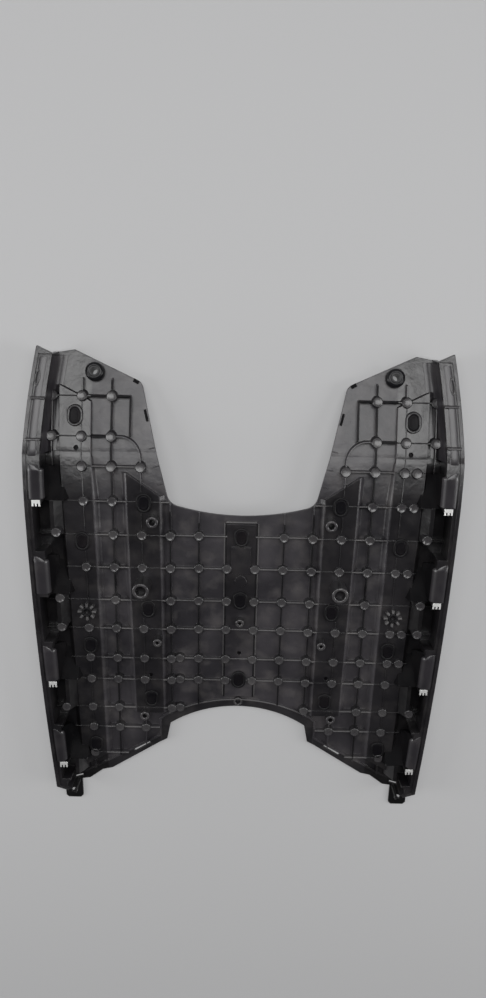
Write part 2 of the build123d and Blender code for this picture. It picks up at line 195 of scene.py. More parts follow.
polish_and_shade = plastic_math("MAXIMUM", past_line(*outer_channel_line), inner_mask)
polish_and_shade = plastic_math("MAXIMUM", polish_and_shade, centre_mask)
# Mask of the rear flange round the arch and along the rear edge, whose base colour is darkened as painted shade.
from_arch = plastic_math("SUBTRACT", along, arch_centre_y * mm)
squares = [plastic_math("MULTIPLY", length, length) for length in (half_x, from_arch)]
arch_distance = plastic_math("SQRT", plastic_math("ADD", *squares))
arch_mask = ramp_past(arch_distance, arch_radius * mm, -1)
arch_mask = plastic_math("MINIMUM", arch_mask, ramp_past(half_x, arch_half * mm, -1))
from_edge = plastic_math("ADD", along, plastic_math("MULTIPLY", half_x, rear_edge_line[1]))
edge_mask = ramp_past(from_edge, rear_edge_line[0] * mm, -1)
edge_mask = plastic_math("MINIMUM", edge_mask, ramp_past(half_x, arch_half * mm, 1))
painted_flange_shade = plastic_math("MAXIMUM", arch_mask, edge_mask)
heights = []
for up in (deck_up, ear_up):
    height = plastic_nodes.new("ShaderNodeVectorMath")
    height.operation = "DOT_PRODUCT"
    plastic_links.new(plastic_place, height.inputs[0])
    height.inputs[1].default_value = up
    heights.append(plastic_math("SUBTRACT", height.outputs["Value"], up.dot(deck_origin)))
# Mask of the low trough floor beside the ledges, whose base colour is darkened as painted shade.
low = plastic_nodes.new("ShaderNodeMapRange")
low.inputs["From Min"].default_value = trough_shade_heights[0] * mm
low.inputs["From Max"].default_value = trough_shade_heights[1] * mm
low.inputs["To Min"].default_value = 1.0
low.inputs["To Max"].default_value = 0.0
plastic_links.new(plastic_math("MAXIMUM", *heights), low.inputs["Value"])
trough_floor = plastic_math("MULTIPLY", past_line(*hollow_line), low.outputs["Result"])
painted_trough_shade = plastic_math("MULTIPLY", trough_floor, ramp_past(along, trough_shade_fade[0] * mm, -1, trough_shade_fade[1]))
plastic_shader = plastic_nodes["Principled BSDF"]
# Painted shade: these masks darken the base colour of the channels, the troughs and the rear flange. Only the
# channels also get less roughness, from the polish.
for socket, mask, kept in (
    ("Base Color", polish_and_shade, channel_shade_tone),
    ("Base Color", painted_trough_shade, trough_shade_tone),
    ("Base Color", painted_flange_shade, flange_shade_tone),
    ("Roughness", polish_and_shade, polish_roughness / board_roughness),
):
    plain = plastic_shader.inputs[socket].links[0].from_socket
    share = plastic_nodes.new("ShaderNodeMapRange")
    share.inputs["To Min"].default_value = 1.0
    share.inputs["To Max"].default_value = kept
    plastic_links.new(mask, share.inputs["Value"])
    scaled = plastic_nodes.new("ShaderNodeVectorMath")
    scaled.operation = "SCALE"
    plastic_links.new(plain, scaled.inputs["Vector"])
    plastic_links.new(share.outputs["Result"], scaled.inputs["Scale"])
    plastic_links.new(scaled.outputs["Vector"], plastic_shader.inputs[socket])
behind_bend = ramp_past(along, -bend_reach * mm, 1, bend_reach)
behind_bend = plastic_math("MULTIPLY", behind_bend, ramp_past(along, bend_crease * mm, -1, 2 * bend_crease))
trough_fade = plastic_math("MULTIPLY", trough_floor, ramp_past(along, 0.0, -1, trough_bend_run))
unbent = plastic_math("MAXIMUM", trough_fade, inner_mask)
bend_share = plastic_math("MULTIPLY", behind_bend, plastic_math("SUBTRACT", 1.0, unbent))
bend_lean = plastic_nodes.new("ShaderNodeVectorMath")
bend_lean.operation = "SCALE"
bend_lean.inputs["Vector"].default_value = deck_front * tan(ear_bend)
plastic_links.new(bend_share, bend_lean.inputs["Scale"])
rounded_bend = plastic_nodes.new("ShaderNodeVectorMath")
rounded_bend.operation = "ADD"
plastic_links.new(plastic_nodes["Bevel"].outputs["Normal"], rounded_bend.inputs[0])
plastic_links.new(bend_lean.outputs["Vector"], rounded_bend.inputs[1])
bend_normal = plastic_nodes.new("ShaderNodeVectorMath")
bend_normal.operation = "NORMALIZE"
plastic_links.new(rounded_bend.outputs["Vector"], bend_normal.inputs[0])
wavy_floor = plastic_nodes.new("ShaderNodeBump")
wavy_floor.inputs["Strength"].default_value = 1.0
wavy_floor.inputs["Distance"].default_value = wave_depth * mm
plastic_links.new(plastic_nodes["Noise Texture"].outputs["Fac"], wavy_floor.inputs["Height"])
plastic_links.new(bend_normal.outputs["Vector"], wavy_floor.inputs["Normal"])
plastic_links.new(wavy_floor.outputs["Normal"], plastic_nodes["Bump"].inputs["Normal"])


# Round posts stand where the ribs cross, moulded with the board. Each has a dished top with a thin rim. The solid has
# them six-sided, so these are their round walls and dishes, with a few odd posts that break the grid. The walls are
# painted darker than the board, which is painted shade, and the dishes paler, which is painted light.
column_first = 14.8
column_pitch = 29.6
columns = [column_first + column_pitch * i for i in range(7)]
row_first = -13.5
row_steps = (36.7, 36.3, 36.3, 37.5, 33.7, 35.8, 26.6, 35.8, 25.9, 34.6)
rows = [row_first - step for step in accumulate((0, *row_steps))]
ear_rows = [reach * cos(ear_bend) for reach in (17.0, 57.5)]
rib_top = 6.0
centre_rib_top = 3.8
post_radius = 5.3
post_rim = 1.4
dish_radius = 4.4
dish_depth = 0.95
ear_dish_depth = 0.5


def skin_rings(mesh, rings):
    """Faces between rings of points, of which the last may be a single point."""
    for lower, upper in zip(rings, rings[1:]):
        for step in range(len(lower)):
            following = (step + 1) % len(lower)
            if len(upper) == 1:
                mesh.faces.new((lower[step], lower[following], upper[0]))
            else:
                mesh.faces.new((lower[step], lower[following], upper[following], upper[step]))


def turn_on_board(mesh, x, y, profile, stretch=0.0, lean=0.0, sides=28):
    """Turns (radius, height) points about an upright axis, stretched along the board where the shape is oval.

    Everything above the floor falls towards the front by lean, which is the slope of the board there.
    """
    rings = []
    for radius, height in profile:
        if not radius:
            rings.append([mesh.verts.new(on_board(x, y, height))])
            continue
        ring = []
        for step in range(sides):
            angle = 2 * pi * (step + 0.5) / sides
            dx, dy = radius * cos(angle), radius * sin(angle)
            raised = height - lean * dy if height else 0.0
            ring.append(mesh.verts.new(on_board(x + dx, y + dy + copysign(stretch, dy), raised)))
        rings.append(ring)
    skin_rings(mesh, rings)


def add_piece(name, mesh, material):
    """A finished mesh as a piece of the board, which rides on the row's one body."""
    bmesh.ops.recalc_face_normals(mesh, faces=mesh.faces)
    built = bpy.data.meshes.new(name)
    mesh.to_mesh(built)
    mesh.free()
    built.shade_smooth()
    built.set_sharp_from_angle(angle=radians(40))
    piece = bpy.data.objects.new(name, built)
    bpy.context.collection.objects.link(piece)
    dress(piece, material)
    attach(piece, "root")


def post_wall(top):
    """Wall and outer half of the rim of a post whose solid ends at top."""
    rim = top + post_rim
    steps = ((0.0, 1.2), (0.15, 0.6), (0.45, 0.2), (post_radius - dish_radius, 0.0))
    return [(post_radius, 0.0), *((post_radius - inset, rim - drop) for inset, drop in steps)]


def post_dish(top, depth):
    """Soft bowl inside the rim of a post."""
    bowl = ((1.0, 0.0), (0.88, 0.18), (0.75, 0.48), (0.6, 0.72), (0.38, 0.92), (0.0, 1.0))
    return [(dish_radius * share, top + post_rim - depth * drop) for share, drop in bowl]


post_rows = {
    2: range(2, 9),
    3: (0, 2, 3, 5, 6, 7, 9),
    4: range(10),
    5: (0, 1, 3, 5, 6, 7, 8, 9, 10),
}
centre_post_rows = {0: range(3, 8), 1: range(2, 8)}
land_post_x = 190.2
land_post_top = 14.0
land_post_shift = 4.5
land_post_rows = (2, 4, 5, 8)
odd_right_x = 175.5
odd_right_rows = (0, 1, 3, 5, 6)
odd_left_x = -65.0
odd_left_rows = (6, 7, 8)
posts = [(odd_right_x, rows[row], rib_top) for row in odd_right_rows]
posts += [(odd_left_x, rows[row], centre_rib_top) for row in odd_left_rows]
for side in (1, -1):
    for taken_rows, top in ((post_rows, rib_top), (centre_post_rows, centre_rib_top)):
        posts += [(side * columns[i], rows[row], top) for i, taken in taken_rows.items() for row in taken]
    posts += [(side * x, y, rib_top) for x in columns[4:] for y in ear_rows]
    posts += [(side * land_post_x, rows[row] + land_post_shift, land_post_top) for row in land_post_rows]
# A paler copy of the board's plastic for painted light, and a darker one for painted shade.
painted_light_plastic = moulded("painted light plastic", (0.026, 0.0245, 0.0265), (0.046, 0.044, 0.0455), 0.27, plastic_grain, 0.15)
shaded_boss_plastic = moulded("shaded boss plastic", (0.008, 0.0075, 0.0085), (0.015, 0.014, 0.0155), 0.34, plastic_grain, 0.08)
post_wall_mesh = bmesh.new()
dish_mesh = bmesh.new()
for x, y, top in posts:
    slope = tan(ear_bend) * max(0.0, 1 + y / bend_reach) if y < 0 else 0.0
    depth = ear_dish_depth if y > rows[1] else dish_depth
    turn_on_board(post_wall_mesh, x, y, post_wall(top), lean=slope)
    turn_on_board(dish_mesh, x, y, post_dish(top, depth), lean=slope)
add_piece("post_walls", post_wall_mesh, shaded_boss_plastic)
add_piece("post_dishes", dish_mesh, painted_light_plastic)


# The ribs run on across the raised mat channels, where they are only low strips. They are part of the moulding and
# break off at the oval stud holes.
channel_top = 5.0
strip_half = 0.5
strip_sink = 1.0
outer_edges = ((154.0, 49.7), (149.0, -355.0)), ((186.0, 65.0), (177.0, -372.0))
inner_edges = ((85.0, -44.0), (83.0, -299.0)), ((119.0, -20.0), (114.0, -299.0))
outer_studs = [(169.6, 36.3), (166.0, -94.0), (162.4, -215.0), (161.0, -341.5)]
inner_studs = [(101.0, -51.0), (98.4, -170.0), (96.8, -280.0)]
stud_clear = 11.5


def loft(mesh, sections):
    """Skin through closed sections of equal count, capped at both ends."""
    loops = [[mesh.verts.new(point) for point in section] for section in sections]
    for near, far in zip(loops, loops[1:]):
        for i, j in zip(range(len(near)), [*range(1, len(near)), 0]):
            mesh.faces.new((near[i], near[j], far[j], far[i]))
    mesh.faces.new(loops[0])
    mesh.faces.new(loops[-1])


def bar_on_board(mesh, start, end, half, low, high):
    """Straight bar between two plan points with a rounded top, bent where it crosses the bend."""
    along = Vector(end) - Vector(start)
    out = Vector((-along.y, along.x)).normalized()
    stops = [0.0, 1.0]
    if start[1] * end[1] < 0:
        stops.insert(1, start[1] / (start[1] - end[1]))
    soft = half / 2
    flank = [(half, low), (half, high - soft), (half - soft, high)]
    shape = [*((-offset, height) for offset, height in flank), *reversed(flank)]
    spine = [Vector(start) + along * stop for stop in stops]
    loft(mesh, [[on_board(*(at + out * offset), height) for offset, height in shape] for at in spine])


def edge_at(edge, y):
    """X of a straight channel edge at a place along the board."""
    (x0, y0), (x1, y1) = edge
    return x0 + (x1 - x0) * (y - y0) / (y1 - y0)


strip_mesh = bmesh.new()
for side in (1, -1):
    for edges, studs, crossing, column in (
        (outer_edges, outer_studs, [*ear_rows, *rows], columns[5]),
        (inner_edges, inner_studs, rows[1:9], columns[3]),
    ):
        inner, outer = edges
        front_edge = inner[0], outer[0]
        strips = []
        for y in crossing:
            inner_x = edge_at(front_edge if y > inner[0][1] else inner, y)
            strips.append(((side * inner_x, y), (side * edge_at(outer, y), y)))
        share = (column - inner[0][0]) / (outer[0][0] - inner[0][0])
        front, rear = [near[1] + share * (far[1] - near[1]) for near, far in zip(inner, outer)]
        breaks = [front]
        for x, y in studs:
            if abs(x - column) < post_radius:
                breaks += [y + stud_clear, y - stud_clear]
        breaks.append(rear)
        for begin, finish in zip(breaks[::2], breaks[1::2]):
            strips.append(((side * column, begin), (side * column, finish)))
        for start, end in strips:
            bar_on_board(strip_mesh, start, end, strip_half, channel_top - strip_sink, rib_top)
add_piece("channel_rib_strips", strip_mesh, board_plastic)


# The tops of the crossing ribs are rounded. The ribs across the deck, the bead of the arch, the line beside the
# middle channel and the bar at its front are painted paler than the floor, a painted highlight; the ribs along the
# board, the edges of the middle channel and the cross ribs of the ears are painted near black, which is painted
# shade. They are part of the moulding and run on the flat-topped ribs of the solid, and over the middle channel as
# low strips.
crown_half = 0.75
crown_rise = 0.4
crown_sink = 1.5
ear_rib_x = 114.5
bead_apex_y = -282.0
bead_corner = (82.0, -304.0)
bead_top = 2.0
bead_step = 6
# Inner end and place along the board
crown_rows = ((columns[3], rows[0]), *((columns[2], y) for y in rows[1:9]), (88.0, rows[9]), (124.0, rows[10]))
# Place across the board, front end, rear end and top of the rib
crown_columns = (
    (columns[1], -72.0, -287.0, centre_rib_top),
    (columns[2], -60.0, -298.0, rib_top),
    (columns[4], 71.0, -356.0, rib_top),
)
centre_channel_top = 3.0
pale_line_offset = 1.5
pale_line_top = 1.4
front_bar_offset = 2.0
front_bar_half = 1.0
# A paler copy of the board's plastic for painted highlights, and a near-black one for painted shade.
highlight_plastic = moulded("painted highlight plastic", (0.045, 0.043, 0.045), (0.085, 0.082, 0.083), 0.36, plastic_grain, 0.3)
deep_shade_dark = (0.004, 0.0038, 0.0045)
deep_shade_light = (0.008, 0.0075, 0.0085)
deep_shade_plastic = moulded("deep painted shade plastic", deep_shade_dark, deep_shade_light, 0.48, plastic_grain, 0.05, 0.14)
bead_fall = bead_apex_y - bead_corner[1]
bead_radius = (bead_corner[0] ** 2 + bead_fall**2) / (2 * bead_fall)
bead_circle_y = bead_apex_y - bead_radius
half, front, rear = centre_channel
row_mesh = bmesh.new()
column_mesh = bmesh.new()


def add_crown(mesh, side, start, end, top):
    """Rounded top of one straight rib between two plan points of one half of the board."""
    ends = [(side * x, y) for x, y in (start, end)]
    bar_on_board(mesh, *ends, crown_half, top - crown_sink, top + crown_rise)


for side in (1, -1):
    for y in rows[2:8]:
        add_crown(row_mesh, side, (columns[0], y), (columns[2], y), centre_rib_top)
    for x, y in crown_rows:
        reach = [x, edge_at(outer_edges[0], y)]
        if y in rows[1:9]:
            reach[1:1] = [edge_at(edge, y) for edge in inner_edges]
        for inner_x, outer_x in zip(reach[::2], reach[1::2]):
            add_crown(row_mesh, side, (inner_x, y), (outer_x, y), rib_top)
    for inner_x, y in zip((columns[4], ear_rib_x), ear_rows):
        add_crown(column_mesh, side, (inner_x, y), (outer_edges[0][0][0], y), rib_top)
    add_crown(column_mesh, side, (ear_rib_x, ear_rows[0]), (ear_rib_x, ear_rows[1]), rib_top)
    for x, begin, finish, top in crown_columns:
        add_crown(column_mesh, side, (x, begin), (x, finish), top)
    add_crown(column_mesh, side, (half, front), (half, rear), centre_channel_top)
    pale_x = half + pale_line_offset
    add_crown(row_mesh, side, (pale_x, front), (pale_x, rear), pale_line_top)
    for y in rows[5:8]:
        add_crown(row_mesh, side, (0.0, y), (half, y), centre_channel_top)
    bead_places = range(0, int(bead_corner[0]) + 1, bead_step)
    bead = [(x, bead_circle_y + (bead_radius**2 - x**2) ** 0.5) for x in bead_places]
    for start, end in zip(bead, bead[1:]):
        add_crown(row_mesh, side, start, end, bead_top)
bar_ends = [(x, front + front_bar_offset) for x in (-half, half)]
bar_on_board(row_mesh, *bar_ends, front_bar_half, 0.0, centre_channel_top + crown_rise)
add_piece("row_crowns", row_mesh, highlight_plastic)
add_piece("column_crowns", column_mesh, deep_shade_plastic)


# The sides of the raised mat channels slope down to the floor of the board with rounded corners. The moulding leaves
# the mould easily so, and the slopes that face the middle catch the light.
# Distance out from the channel's edge, and height
slope_shape = ((-0.5, 5.05), (0.4, 4.95), (1.1, 4.5), (3.6, 1.2), (4.4, 0.45), (5.6, 0.05), (5.6, -0.6), (-0.5, -0.6))
slope_start = (-4.0, 0.2)
slope_full = (-45.0, 1.0)
slope_mesh = bmesh.new()
for side in (1, -1):
    for inner, outer in (outer_edges, inner_edges):
        for edge, sense in ((inner, -1), (outer, 1)):
            front, rear = [y for _, y in edge]
            growth = (slope_start, slope_full) if front > 0 else ((front, 1.0),)
            sections = []
            for y, share in (*growth, (rear, 1.0)):
                spread = [(edge_at(edge, y) + sense * share * out, height) for out, height in slope_shape]
                sections.append([on_board(side * x, y, height) for x, height in spread])
            loft(slope_mesh, sections)
add_piece("channel_sides", slope_mesh, board_plastic)


# Every stud hole of the channels has a raised oval rim, moulded with the board, that the rubber stud of the mat fills
# from the other side. On the deck the rims are painted near black, which is painted shade; on the ears they keep the
# board's plastic.
stud_straight = 2.5
# Radius, and height over the channel
rim_section = ((8.0, -0.5), (8.0, 1.5), (7.6, 2.1), (6.7, 2.4), (5.9, 2.2), (5.3, 1.6), (5.3, 0.5))
studs = [(0.0, y, centre_channel_top) for y in (-87.0, -159.0, -255.0)]
studs += [(side * x, y, channel_top) for side in (1, -1) for x, y in outer_studs + inner_studs]
rim_mesh = bmesh.new()
ear_rim_mesh = bmesh.new()
for x, y, top in studs:
    mesh = ear_rim_mesh if y > 0 else rim_mesh
    turn_on_board(mesh, x, y, [(radius, top + rise) for radius, rise in rim_section], stud_straight)
add_piece("stud_hole_rims", rim_mesh, deep_shade_plastic)
add_piece("ear_stud_rims", ear_rim_mesh, board_plastic)


# Screw tubes and locating bosses stand on the underside for the parts that are fixed below the board. The solid has
# them eight-sided, and these are their round walls and rims. The walls are painted darker than the board, which is
# painted shade, and the rims, but for the star's, paler, which is painted light.
# Place across and along the board, outer diameter, bore, height and floor of the bore
tubes = (
    (103.4, -141.0, 17.0, 12.0, 25.0, 19.0),
    (91.5, -69.0, 12.0, 7.0, 15.0, 5.0),
    (88.0, -205.0, 9.0, 4.0, 16.5, 5.0),
    (104.0, -299.0, 10.0, 5.5, 12.0, 2.5),
)
centre_tubes = ((0.0, -183.0, 9.0, 4.0, 10.0, 3.0), (0.0, -283.5, 9.6, 6.4, 3.4, 0.2))
star_boss = (164.0, -174.0, 10.0, 7.0, 9.0, 5.0)
boss_sides = 8
wall_skin = 0.15
bore_skin = 0.05
end_skin = 0.1
rim_round = 0.35
tube_mesh = bmesh.new()
hub_mesh = bmesh.new()
tube_ring_mesh = bmesh.new()
turns = [pi * step / 8 for step in range(9)]
mirrored_tubes = [(-x, *rest) for x, *rest in (*tubes, star_boss)]
for x, y, outer, bore, height, bore_floor in (*tubes, star_boss, *mirrored_tubes, *centre_tubes):
    wide = outer / 2 + wall_skin
    narrow = bore / 2 * cos(pi / boss_sides) - bore_skin
    thick = wide - narrow
    end = height + end_skin
    crown = [(narrow + thick * (1 + cos(turn)) / 2, end + rim_round * thick * sin(turn)) for turn in turns]
    starred = abs(x) == star_boss[0]
    turn_on_board(hub_mesh if starred else tube_ring_mesh, x, y, crown)
    turn_on_board(tube_mesh, x, y, [(wide, 0.0), crown[0]])
    turn_on_board(tube_mesh, x, y, [crown[-1], (narrow, bore_floor + end_skin)])
add_piece("round_tubes", tube_mesh, shaded_boss_plastic)
add_piece("tube_rings", tube_ring_mesh, painted_light_plastic)


# One boss in each outer channel is a star: a round hub with eight short fins round it. The hub is painted near black,
# which is painted shade, and the fins pale, which is a painted highlight. It is moulded with the board, and its tube
# is among the round tubes.
star_fins = 8
fin_reach = (5.6, 9.8)
fin_half = 1.3
fin_sink = 0.5
fin_rise = 0.3
fin_mesh = bmesh.new()
star_x, star_y, _, _, star_top, star_floor = star_boss
for side in (1, -1):
    hub = Vector((side * star_x, star_y))
    for fin in range(star_fins):
        turn = 2 * pi * fin / star_fins
        fin_ends = [hub + Vector((cos(turn), sin(turn))) * reach for reach in fin_reach]
        bar_on_board(fin_mesh, *fin_ends, fin_half, star_floor - fin_sink, star_top + fin_rise)
add_piece("star_hubs", hub_mesh, deep_shade_plastic)
add_piece("star_fins", fin_mesh, highlight_plastic)


# Along the side ledges, between the hook pockets, the inner edge is a broad rounded shoulder beside the groove of the
# outer lip, and it sweeps down into a trough. Each stretch starts in a point and ends just before a clip.
# The shoulders and the ear coves take a darker, slightly glossier copy of the board's plastic; the darker tone is
# painted shade.
shaded_ledge_plastic = moulded("shaded ledge plastic", (0.012, 0.011, 0.013), (0.022, 0.020, 0.023), 0.33, plastic_grain, 0.12)
rim_wide = (217.3, -49.0)
rim_tip = (204.0, 103.5)
rim_rear = (204.0, -386.0)
ledge_top = 23.5
lip_width = 3.5
lip_top = 25.0
wall_inset = 16.5
wall_taper = 5.0
groove_inset = 5.0
pocket_fronts = [-47.9 - 102.8 * i for i in range(4)]
pocket_span = 57.0
clip_room = 4.0
first_start = -8.0
shoulder_point = 6.0
shoulder_power = 0.6
start_share = 0.1
shoulder_steps = 24


def rim_x(y):
    """Half width at the rim of the ledge, on the arcs that leave its widest point."""
    end_x, end_y = rim_tip if y > rim_wide[1] else rim_rear
    narrowing = rim_wide[0] - end_x
    radius = (narrowing**2 + (end_y - rim_wide[1]) ** 2) / (2 * narrowing)
    return rim_wide[0] - radius + (radius**2 - (y - rim_wide[1]) ** 2) ** 0.5


def shoulder_section(side, y, share, walled):
    """Section of the shoulder, or of the trough wall below it, shrunk towards the groove near its start."""
    inner = wall_inset - wall_taper * max(0.0, (y - rim_wide[1]) / (rim_rear[1] - rim_wide[1])) ** 2
    crown = [
        (groove_inset, ledge_top - 0.3),
        (groove_inset + 0.1, lip_top - 0.7),
        (groove_inset + 0.9, lip_top - 0.15),
        (groove_inset + 0.4 * (inner - groove_inset), lip_top),
        (inner - 2.2, lip_top - 0.3),
        (inner - 0.8, lip_top - 0.9),
        (inner + 0.2, lip_top - 1.5),
        (inner + 1.4, lip_top - 2.7),
        (inner + 2.4, lip_top - 4.2),
        (inner + 2.9, lip_top - 6.0),
        (inner - 1.0, lip_top - 6.0),
        (inner - 1.0, ledge_top - 1.0),
    ]
    wall = [
        (inner + 2.9, lip_top - 6.0),
        (inner + 3.1, lip_top - 9.0),
        (inner + 3.4, lip_top - 14.0),
        (inner + 4.2, lip_top - 20.0),
        (inner + 5.8, lip_top - 23.5),
        (inner + 8.5, lip_top - 24.9),
        (inner - 1.0, lip_top - 25.0),
        (inner - 1.0, lip_top - 6.0),
    ]
    section = []
    for inset, height in wall if walled else crown:
        drawn = groove_inset + (inset - groove_inset) * share
        section.append(on_board(side * (rim_x(y) - drawn), y, ledge_top + (height - ledge_top) * share**2))
    return section


# The trough walls, the ramps and the notch stops take a near-black, rough copy of the board's plastic, which is
# painted shade.
trough_shade_dark = (0.003, 0.003, 0.0035)
trough_shade_light = (0.006, 0.0055, 0.0062)
trough_shade_plastic = moulded("painted trough shade plastic", trough_shade_dark, trough_shade_light, 0.6, plastic_grain, 0.03, 0.05)
shoulder_mesh = bmesh.new()
trough_wall_mesh = bmesh.new()
starts = [first_start] + [front - pocket_span for front in pocket_fronts[:-1]]
for side in (1, -1):
    for start, front in zip(starts, pocket_fronts):
        length = start - front - clip_room
        for mesh, walled in ((shoulder_mesh, False), (trough_wall_mesh, True)):
            sections = []
            for i in range(shoulder_steps + 1):
                run = length * i / shoulder_steps
                share = min(1.0, start_share + (1 - start_share) * (run / shoulder_point) ** shoulder_power)
                sections.append(shoulder_section(side, start - run, share, walled))
            loft(mesh, sections)
add_piece("ledge_shoulders", shoulder_mesh, shaded_ledge_plastic)
add_piece("trough_walls", trough_wall_mesh, trough_shade_plastic)


# Each trough beside a shoulder sweeps up at its rear end to the front edge of the next hook pocket, in one smooth
# curve of the moulding that covers the two flats of the solid's ramp.
ramp_rise = 14.0
ramp_run = 34.0
ramp_power = 2.4
# Outer end, crest and foot, in from the rim
ramp_insets = (15.5, 33.0, 36.0)
ramp_gap = 0.1
ramp_skin = 0.15
ramp_side_slope = 0.45
ramp_side_skin = 0.1
ramp_edge_drop = 0.2
ramp_sink = 0.6
ramp_steps = 18
ramp_spacing = 1.2
ramp_mesh = bmesh.new()
for side in (1, -1):
    for front in pocket_fronts:
        outer_x, crest_x, foot_x = [rim_x(front) - inset for inset in ramp_insets]
        sections = []
        for i in range(ramp_steps + 1):
            ahead = ramp_gap + (ramp_run - ramp_gap) * (i / ramp_steps) ** ramp_spacing
            rise = ramp_skin + ramp_rise * (1 - ahead / ramp_run) ** ramp_power
            side_x = foot_x - ramp_side_slope * max(0.0, rise - channel_top) - ramp_side_skin
            shape = [
                (outer_x, rise),
                (crest_x, rise),
                (foot_x, rise - ramp_edge_drop),
                (side_x, min(rise, channel_top) - ramp_edge_drop),
                (side_x, -ramp_sink),
                (outer_x, -ramp_sink),
            ]
            sections.append([on_board(side * x, front + ahead, height) for x, height in shape])
        loft(ramp_mesh, sections)
add_piece("trough_ramps", ramp_mesh, trough_shade_plastic)


# On the ears the floor sweeps up into the ledge in one soft cove, painted darker than the board as painted shade. The
# cross ribs run over it to the lip, and a small lens-shaped boss stands on each ledge in front of them; these are
# painted paler, which is painted light. All are part of the moulding.
# Distance in from the rim, and height
cove_shape = (
    (27.0, -0.5), (27.0, 0.1), (23.5, 0.9), (20.8, 3.0), (18.8, 6.5), (17.6, 11.0), (16.9, 16.0), (16.0, 20.0),
    (14.0, 23.0), (11.0, 24.2), (7.5, 24.5), (5.6, 24.2), (5.0, 23.2), (12.0, 22.5), (15.0, 18.0), (15.5, -0.5),
)
cove_ends = (93.0, 0.5)
cove_steps = 27
cove_mesh = bmesh.new()
for side in (1, -1):
    sections = []
    for i in range(cove_steps + 1):
        y = cove_ends[0] + (cove_ends[1] - cove_ends[0]) * i / cove_steps
        sections.append([on_board(side * (rim_x(y) - inset), y, height) for inset, height in cove_shape])
    loft(cove_mesh, sections)
add_piece("ear_coves", cove_mesh, shaded_ledge_plastic)
ledge_rib_insets = (wall_inset, lip_width - 1)
ledge_rib_half = 1.2
ledge_rib_top = 26.4
ledge_sink = 1.0
lens_y = 74
lens_half_length = 8
lens_step = 2
lens_inset = 6.5
lens_bulge = 2.2
lens_wall_half = 0.5
lens_top = 25.6
ear_ledge_mesh = bmesh.new()
for side in (1, -1):
    for y in ear_rows:
        rib_ends = [(side * (rim_x(y) - inset), y) for inset in ledge_rib_insets]
        bar_on_board(ear_ledge_mesh, *rib_ends, ledge_rib_half, ledge_top - ledge_sink, ledge_rib_top)
    for bulge in (lens_bulge, -lens_bulge):
        lens = []
        for y in range(lens_y - lens_half_length, lens_y + lens_half_length + 1, lens_step):
            bow = bulge * (1 - ((y - lens_y) / lens_half_length) ** 2)
            lens.append((side * (rim_x(y) - lens_inset + bow), y))
        for start, end in zip(lens, lens[1:]):
            bar_on_board(ear_ledge_mesh, start, end, lens_wall_half, ledge_top - ledge_sink, lens_top)
add_piece("ear_ledge_ribs", ear_ledge_mesh, painted_light_plastic)


# Short gussets stiffen the edge of the front notch, two stops stand on each side of it, and a two-pronged hook stands
# beside each rear tab. They are moulded with the board. The stops are painted near black, which is painted shade.
notch_corner = Vector((76.5, -50.0))
notch_front = Vector((103.5, 66.0))
gusset_pitch = 19.0
gusset_length = 6.0
gusset_last_y = 24.0
gusset_gap = 0.4
gusset_half = 0.4
gusset_top = 1.1
edge_sink = 1.0
# Rear end, front end and half width
notch_stops = (((97.6, 31.0), (100.4, 42.0), 1.2), ((107.5, 67.8), (112.5, 70.4), 1.6))
stop_top = 1.6
hook_foot = (199.5, -385.0)
hook_prongs = ((203.0, -397.5), (197.5, -396.5))
hook_half = 0.9
hook_heights = (1.0, 9.0)
gusset_mesh = bmesh.new()
stop_mesh = bmesh.new()
notch_along = (notch_front - notch_corner).normalized()
notch_in = Vector((notch_along.y, -notch_along.x))
gussets = int((gusset_last_y - notch_corner.y) / notch_along.y / gusset_pitch)
for side in (1, -1):
    for i in range(1, gussets + 1):
        foot = notch_corner + notch_along * gusset_pitch * i + notch_in * gusset_gap
        gusset_ends = [(side * x, y) for x, y in (foot, foot + notch_in * gusset_length)]
        bar_on_board(gusset_mesh, *gusset_ends, gusset_half, -edge_sink, gusset_top)
    for *line, stop_half in notch_stops:
        stop_ends = [(side * x, y) for x, y in line]
        bar_on_board(stop_mesh, *stop_ends, stop_half, -edge_sink, stop_top)
    for prong in hook_prongs:
        prong_ends = [(side * x, y) for x, y in (hook_foot, prong)]
        bar_on_board(gusset_mesh, *prong_ends, hook_half, *hook_heights)
add_piece("edge_gussets", gusset_mesh, board_plastic)
add_piece("notch_stops", stop_mesh, trough_shade_plastic)


# The five mats are strips of black rubber pressed into channels of the upper side. Their oval studs come through the
# channel floors, each with a shallow dish, which is all that shows of them from below.
rubber_grain = 1500
mat_rubber = moulded("mat rubber", (0.003, 0.003, 0.004), (0.006, 0.005, 0.006), 0.45, rubber_grain, 0.03, 0.08)
for hand in ("centre", "left_inner", "right_inner", "left_outer", "right_outer"):
    dress(frame["nodes"][f"{hand}_mat"], mat_rubber)
# Radius, and height over the channel
cap_section = ((5.35, 1.5), (4.7, 1.9), (3.9, 2.0), (3.1, 1.78), (1.5, 1.68), (0.0, 1.66))
cap_mesh = bmesh.new()
for x, y, top in studs:
    turn_on_board(cap_mesh, x, y, [(radius, top + rise) for radius, rise in cap_section], stud_straight)
add_piece("stud_dishes", cap_mesh, mat_rubber)


# One black rubber grommet is pressed into each ear, where a shouldered bolt goes through it. Its head is a smooth
# ring like a tyre, which rounds off the eight-sided solid.
grommet_dark = (0.004, 0.004, 0.005)
grommet_light = (0.008, 0.008, 0.009)
grommet_rubber = moulded("grommet rubber", grommet_dark, grommet_light, 0.26, rubber_grain, 0.04, 0.18)
grommet_x = 151.0
grommet_reach = 80.5
